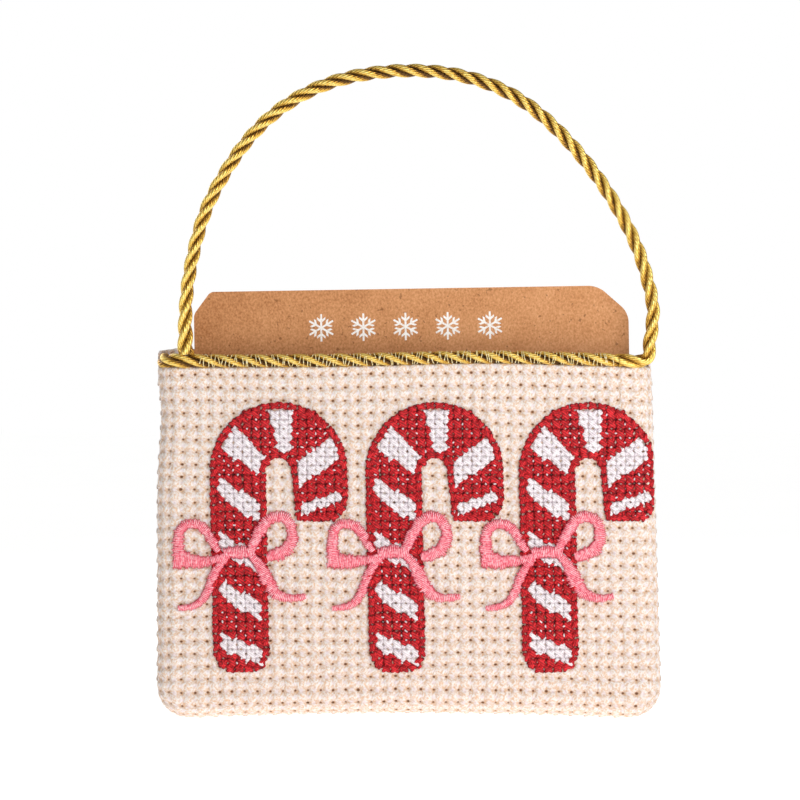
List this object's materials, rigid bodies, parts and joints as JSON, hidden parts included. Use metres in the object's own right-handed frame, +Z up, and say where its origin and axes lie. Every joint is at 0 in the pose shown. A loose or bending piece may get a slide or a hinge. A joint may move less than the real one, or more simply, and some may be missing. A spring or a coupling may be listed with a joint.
{
  "type": "gift card holder",
  "caption": "Small lined cloth pouch with embroidered striped canes, a twisted gold cord edging that rises into an arched handle, and a kraft card that slides in its open top.",
  "frame": {"origin": "middle of the pouch's foot, on the seam plane between front and back", "axes": "+Z up towards the mouth, -Y out of the embroidered front, +X to the right seen from the front"},
  "size_m": [0.1024, 0.0107, 0.133],
  "materials": {
    "aida_cloth": "even-weave cotton with open holes, matt",
    "interlining": "stiff non-woven, matt",
    "lining_cotton": "plain cotton, matt",
    "gold_cord": "twisted metallic-thread cord, bright",
    "couching_thread": "fine metallic sewing thread",
    "seam_thread": "cotton sewing thread",
    "red_floss": "stranded cotton cross-stitch",
    "white_floss": "stranded cotton cross-stitch",
    "pink_floss": "satin stitch, soft sheen",
    "kraft_card": "uncoated kraft, fine fibres"
  },
  "bodies": {
    "pouch": {"front_panel": "aida_cloth", "back_panel": "aida_cloth", "front_interlining": "interlining", "back_interlining": "interlining", "front_lining": "lining_cotton", "back_lining": "lining_cotton", "mouth_trim_cord": "gold_cord", "trim_couching_stitches": "couching_thread", "left_seam_stitches": "seam_thread", "right_seam_stitches": "seam_thread", "bottom_seam_stitches": "seam_thread", "cane_left_red": "red_floss", "cane_left_white": "white_floss", "bow_left": "pink_floss", "cane_middle_red": "red_floss", "cane_middle_white": "white_floss", "bow_middle": "pink_floss", "cane_right_red": "red_floss", "cane_right_white": "white_floss", "bow_right": "pink_floss"},
    "handle": {"handle_cord": "gold_cord"},
    "card": {"insert_card": "kraft_card"}
  },
  "joints": [
    {"name": "handle_swing", "type": "hinge", "parent": "pouch", "child": "handle", "pos_m": [0, -0.0047, 0.07285], "axis": [1, 0, 0], "range_deg": [-50, 120]},
    {"name": "card_slide", "type": "slide", "parent": "pouch", "child": "card", "axis": [0, 0, 1], "range_m": [0, 0.076]}
  ]
}
